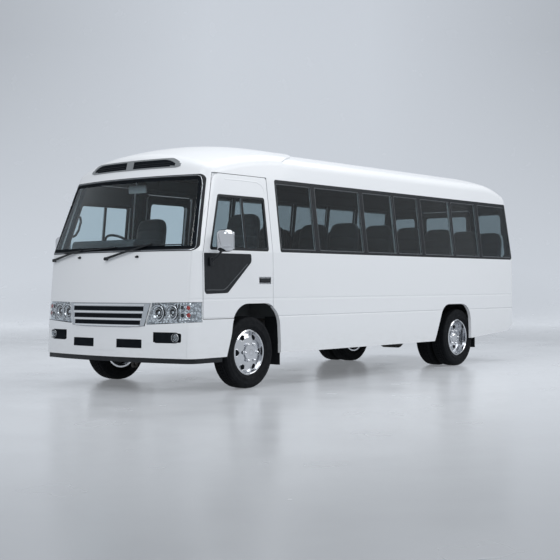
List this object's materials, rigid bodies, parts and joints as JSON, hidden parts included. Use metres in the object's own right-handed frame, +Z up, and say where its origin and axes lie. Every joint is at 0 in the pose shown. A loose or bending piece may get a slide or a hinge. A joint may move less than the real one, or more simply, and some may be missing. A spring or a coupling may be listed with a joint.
{
  "type": "minibus",
  "caption": "Forward-control passenger minibus with steered front wheels, twin rear wheels, opening cab, entry and rear doors, and a hollow seated cabin.",
  "frame": {"origin": "on the ground below the middle of the bounding box", "axes": "+X forward, +Y to the left of the bus, +Z up"},
  "size_m": [6.7, 2.58, 2.59],
  "materials": {
    "body_paint": "gloss white",
    "tinted_glass": "tinted",
    "black_trim": "satin black",
    "chrome": "bright",
    "tyre_rubber": "matt",
    "chassis_paint": "satin black",
    "cast_metal": "rough",
    "steel": "dull",
    "seat_fabric": "woven",
    "cab_plastic": "grained",
    "clear_lens": "clear",
    "lamp_silver": "metallised",
    "red_lens": "gloss"
  },
  "bodies": {
    "bus_body": {"axles": "chassis_paint", "cab_seats": "seat_fabric", "chassis_rails": "chassis_paint", "cross_members": "chassis_paint", "dashboard": "cab_plastic", "engine": "cast_metal", "exhaust": "steel", "floor_boxes": "cab_plastic", "floor_pan": "cab_plastic", "fog_lamps": "clear_lens", "front_bumper": "body_paint", "front_fenders": "body_paint", "front_inserts": "black_trim", "fuel_tank": "chassis_paint", "grille": "chrome", "headlamp_housings": "lamp_silver", "headlamp_lenses": "clear_lens", "leaf_springs": "chassis_paint", "left_wall": "body_paint", "lower_valance": "black_trim", "mud_flaps": "black_trim", "nose_panel": "body_paint", "passenger_seats": "seat_fabric", "propeller_shaft": "chassis_paint", "rear_wall": "body_paint", "right_wall": "body_paint", "roof_cap": "body_paint", "roof_panel": "body_paint", "roof_vent": "black_trim", "steering_wheel": "cab_plastic", "tail_lamps": "red_lens", "window_frames": "black_trim", "window_glass": "tinted_glass", "windscreen": "tinted_glass", "windscreen_seal": "black_trim", "wipers": "black_trim"},
    "left_door": {"left_door": "body_paint", "left_door_frame": "black_trim", "left_door_glass": "tinted_glass", "left_mirror": "chrome"},
    "right_door": {"right_door": "body_paint", "right_door_frame": "black_trim", "right_door_glass": "tinted_glass", "right_mirror": "chrome"},
    "entry_door": {"entry_door": "body_paint", "entry_door_glass": "tinted_glass"},
    "rear_door": {"rear_door": "body_paint", "rear_door_glass": "tinted_glass"},
    "left_knuckle": {"left_knuckle": "chassis_paint"},
    "right_knuckle": {"right_knuckle": "chassis_paint"},
    "front_left_wheel": {"front_left_tyre": "tyre_rubber", "front_left_rim": "chrome"},
    "front_right_wheel": {"front_right_tyre": "tyre_rubber", "front_right_rim": "chrome"},
    "rear_left_wheel": {"rear_left_tyres": "tyre_rubber", "rear_left_rims": "chrome"},
    "rear_right_wheel": {"rear_right_tyres": "tyre_rubber", "rear_right_rims": "chrome"}
  },
  "joints": [
    {"name": "left_steer", "type": "hinge", "parent": "bus_body", "child": "left_knuckle", "pos_m": [2.31, 0.8, 0.369], "axis": [0, 0, 1], "range_deg": [-35, 35]},
    {"name": "right_steer", "type": "hinge", "parent": "bus_body", "child": "right_knuckle", "pos_m": [2.31, -0.8, 0.369], "axis": [0, 0, 1], "range_deg": [-35, 35]},
    {"name": "front_left_spin", "type": "hinge", "parent": "left_knuckle", "child": "front_left_wheel", "pos_m": [2.31, 0.947, 0.369], "axis": [0, 1, 0], "continuous": true},
    {"name": "front_right_spin", "type": "hinge", "parent": "right_knuckle", "child": "front_right_wheel", "pos_m": [2.31, -0.947, 0.369], "axis": [0, 1, 0], "continuous": true},
    {"name": "rear_left_spin", "type": "hinge", "parent": "bus_body", "child": "rear_left_wheel", "pos_m": [-1.863, 0.944, 0.369], "axis": [0, 1, 0], "continuous": true},
    {"name": "rear_right_spin", "type": "hinge", "parent": "bus_body", "child": "rear_right_wheel", "pos_m": [-1.863, -0.944, 0.369], "axis": [0, 1, 0], "continuous": true},
    {"name": "left_door_hinge", "type": "hinge", "parent": "bus_body", "child": "left_door", "pos_m": [3.057, 1.0885, 1], "axis": [0, 0, -1], "range_deg": [0, 65]},
    {"name": "right_door_hinge", "type": "hinge", "parent": "bus_body", "child": "right_door", "pos_m": [3.057, -1.0885, 1], "axis": [0, 0, 1], "range_deg": [0, 65]},
    {"name": "entry_door_hinge", "type": "hinge", "parent": "bus_body", "child": "entry_door", "pos_m": [1.807, -1.0885, 1], "axis": [0, 0, 1], "range_deg": [0, 80]},
    {"name": "rear_door_hinge", "type": "hinge", "parent": "bus_body", "child": "rear_door", "pos_m": [-3.3455, 0.4265, 1], "axis": [0, 0, -1], "range_deg": [0, 95]}
  ],
  "couplings": [
    {"joint": "right_steer", "follows": "left_steer", "ratio": 1}
  ]
}
